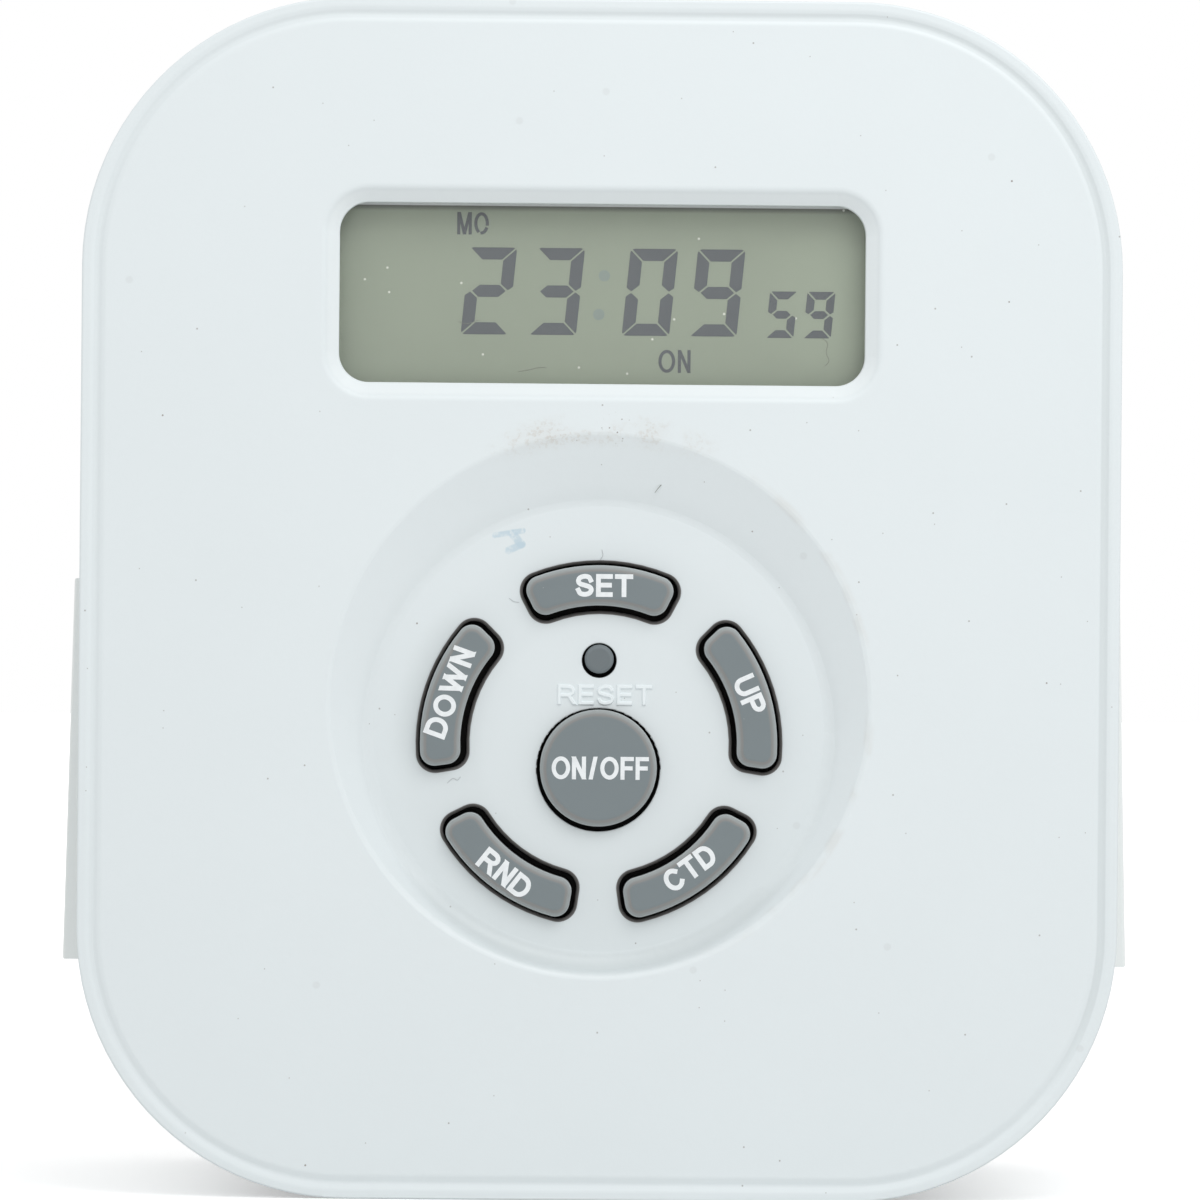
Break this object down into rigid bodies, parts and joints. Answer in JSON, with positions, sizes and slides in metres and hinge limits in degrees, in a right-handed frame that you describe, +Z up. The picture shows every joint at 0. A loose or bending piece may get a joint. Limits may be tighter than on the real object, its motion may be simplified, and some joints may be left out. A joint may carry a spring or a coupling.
{
  "type": "plug-in digital timer",
  "caption": "White wall-plug timer: recessed display over a round dish of grey push keys, an outlet in each side, and a grounded plug on its back.",
  "frame": {"origin": "middle of the flat back face, which lies against the wall plate", "axes": "+X to the right seen from the front, +Y into the wall along the plug blades, +Z up"},
  "size_m": [0.0676, 0.0576, 0.075],
  "materials": {
    "black_plastic": "black moulded plastic",
    "black_resin": "black epoxy",
    "blade_brass": "polished brass",
    "blue_resin": "blue dipped resin",
    "brown_ceramic": "chip part ceramic",
    "capacitor_sleeve": "dark shrink sleeve",
    "carbon_pads": "carbon print",
    "case_plastic": "white ABS, fine satin texture",
    "cell_steel": "button cell steel",
    "circuit_board": "green solder resist",
    "clear_window": "clear polished acrylic",
    "coil_copper": "enamelled copper winding",
    "contact_brass": "stamped brass",
    "crystal_can": "drawn can",
    "grey_rubber": "mid-grey silicone rubber, matte",
    "insert_plastic": "white flame-retardant plastic",
    "lcd_film": "greenish grey polariser",
    "lcd_glass": "display glass",
    "nickel_strip": "nickel-plated strip",
    "relay_iron": "plated soft iron",
    "resistor_body": "lacquered ceramic",
    "screw_steel": "zinc-plated steel",
    "white_plastic": "white moulded plastic",
    "yellow_plastic": "yellow film capacitor case"
  },
  "bodies": {
    "case": {"backup_battery": "cell_steel", "battery_tabs": "nickel_strip", "blade_retainer": "black_plastic", "board_link_pins": "nickel_strip", "board_link_spacer": "black_plastic", "board_screws": "screw_steel", "case_screws": "screw_steel", "chip_parts": "brown_ceramic", "control_board": "circuit_board", "controller_chip": "black_resin", "countdown_key_dome": "grey_rubber", "display_window": "clear_window", "down_key_dome": "grey_rubber", "dropper_capacitor": "yellow_plastic", "front_shell": "case_plastic", "fusible_resistor": "resistor_body", "ground_bus": "contact_brass", "ground_contact_left": "contact_brass", "ground_contact_right": "contact_brass", "ground_pin": "blade_brass", "key_contact_pads": "carbon_pads", "keypad_mat": "grey_rubber", "lcd_frame": "white_plastic", "lcd_panel": "lcd_glass", "lcd_polariser": "lcd_film", "line_blade": "blade_brass", "line_bus": "contact_brass", "line_contact_left": "contact_brass", "line_contact_right": "contact_brass", "neutral_blade": "blade_brass", "neutral_bus": "contact_brass", "neutral_contact_left": "contact_brass", "neutral_contact_right": "contact_brass", "on_off_key_dome": "grey_rubber", "power_board": "circuit_board", "quartz_crystal": "crystal_can", "random_key_dome": "grey_rubber", "rear_shell": "case_plastic", "rectifier_diodes": "black_resin", "relay_base": "black_plastic", "relay_coil": "coil_copper", "relay_cover": "black_plastic", "relay_fixed_contact": "contact_brass", "relay_yoke": "relay_iron", "reset_key_dome": "grey_rubber", "set_key_dome": "grey_rubber", "smoothing_capacitor": "capacitor_sleeve", "socket_insert_left": "insert_plastic", "socket_insert_right": "insert_plastic", "surge_varistor": "blue_resin", "up_key_dome": "grey_rubber", "zebra_strips": "grey_rubber"},
    "armature": {"relay_armature": "relay_iron"},
    "set_key_body": {"set_key": "grey_rubber"},
    "up_key_body": {"up_key": "grey_rubber"},
    "countdown_key_body": {"countdown_key": "grey_rubber"},
    "random_key_body": {"random_key": "grey_rubber"},
    "down_key_body": {"down_key": "grey_rubber"},
    "on_off_key_body": {"on_off_key": "grey_rubber"},
    "reset_key_body": {"reset_key": "grey_rubber"}
  },
  "joints": [
    {"name": "set_press", "type": "slide", "parent": "case", "child": "set_key_body", "axis": [0, 1, 0], "range_m": [0, 0.0009], "stiffness_N_per_m": 1500, "deforming": ["set_key_dome"]},
    {"name": "up_press", "type": "slide", "parent": "case", "child": "up_key_body", "axis": [0, 1, 0], "range_m": [0, 0.0009], "stiffness_N_per_m": 1500, "deforming": ["up_key_dome"]},
    {"name": "countdown_press", "type": "slide", "parent": "case", "child": "countdown_key_body", "axis": [0, 1, 0], "range_m": [0, 0.0009], "stiffness_N_per_m": 1500, "deforming": ["countdown_key_dome"]},
    {"name": "random_press", "type": "slide", "parent": "case", "child": "random_key_body", "axis": [0, 1, 0], "range_m": [0, 0.0009], "stiffness_N_per_m": 1500, "deforming": ["random_key_dome"]},
    {"name": "down_press", "type": "slide", "parent": "case", "child": "down_key_body", "axis": [0, 1, 0], "range_m": [0, 0.0009], "stiffness_N_per_m": 1500, "deforming": ["down_key_dome"]},
    {"name": "on_off_press", "type": "slide", "parent": "case", "child": "on_off_key_body", "axis": [0, 1, 0], "range_m": [0, 0.0009], "stiffness_N_per_m": 1500, "deforming": ["on_off_key_dome"]},
    {"name": "reset_press", "type": "slide", "parent": "case", "child": "reset_key_body", "axis": [0, 1, 0], "range_m": [0, 0.0009], "stiffness_N_per_m": 1500, "deforming": ["reset_key_dome"]},
    {"name": "armature_rock", "type": "hinge", "parent": "case", "child": "armature", "pos_m": [0.0134, -0.0221, 0.01575], "axis": [0, 0, 1], "range_deg": [-3, 0], "stiffness_Nm_per_rad": 0.02}
  ]
}
